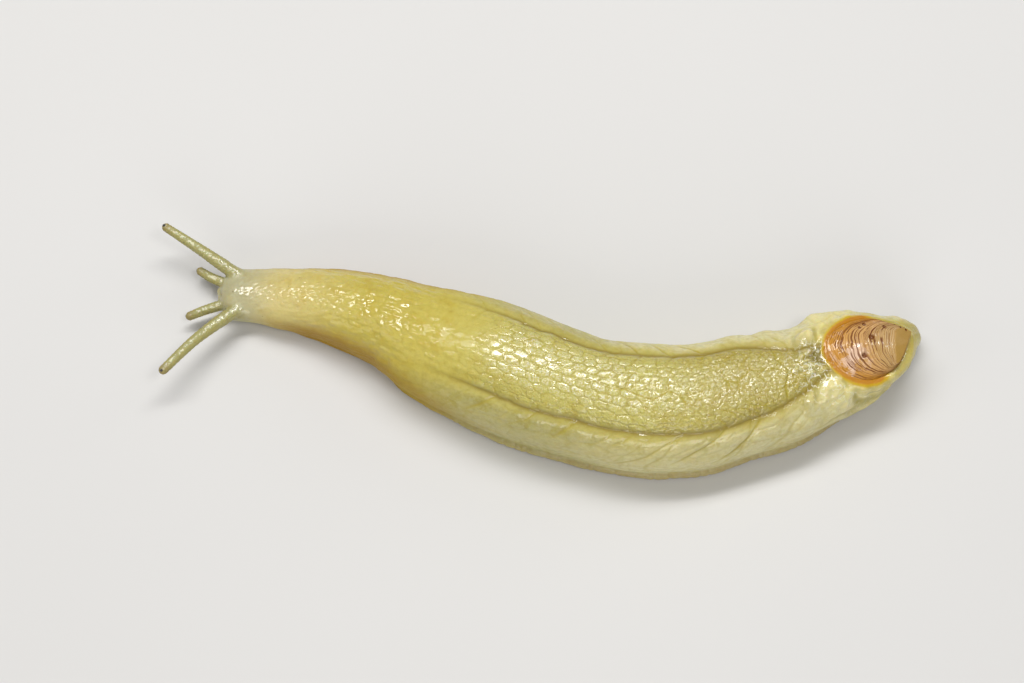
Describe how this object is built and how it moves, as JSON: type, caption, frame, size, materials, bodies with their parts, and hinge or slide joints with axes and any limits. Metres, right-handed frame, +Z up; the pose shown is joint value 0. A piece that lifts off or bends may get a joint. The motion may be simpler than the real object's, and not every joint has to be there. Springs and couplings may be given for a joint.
{
  "type": "earshell slug",
  "caption": "Life-size yellow shelled slug, crawling with its tentacles out, a small ear-shaped shell on the tail.",
  "frame": {"origin": "on the floor below the middle of the whole animal's box", "axes": "+X from the head to the tail, +Y to the animal's right side, +Z up from the sole"},
  "size_m": [0.0621, 0.0206, 0.008],
  "materials": {
    "flesh": "wet yellow slug skin with net-like tubercles, moist gloss",
    "head_flesh": "paler greenish-yellow translucent skin, moist gloss",
    "sole": "smooth pale sole with a thin ochre fringe, moist",
    "mantle": "smooth orange-yellow mantle lip, moist",
    "shell": "amber to tan horny shell with dark growth lines, wet satin",
    "eye": "glossy black eye spot"
  },
  "bodies": {
    "root": {"head": "head_flesh", "neck": "head_flesh", "forebody": "flesh", "midbody": "flesh", "hindbody": "flesh", "tail": "flesh", "foot_front": "sole", "foot_middle": "sole", "foot_rear": "sole", "mantle": "mantle", "shell": "shell", "upper_tentacle_left": "head_flesh", "upper_tentacle_right": "head_flesh", "lower_tentacle_left": "head_flesh", "lower_tentacle_right": "head_flesh", "eye_left": "eye", "eye_right": "eye"}
  },
  "joints": []
}
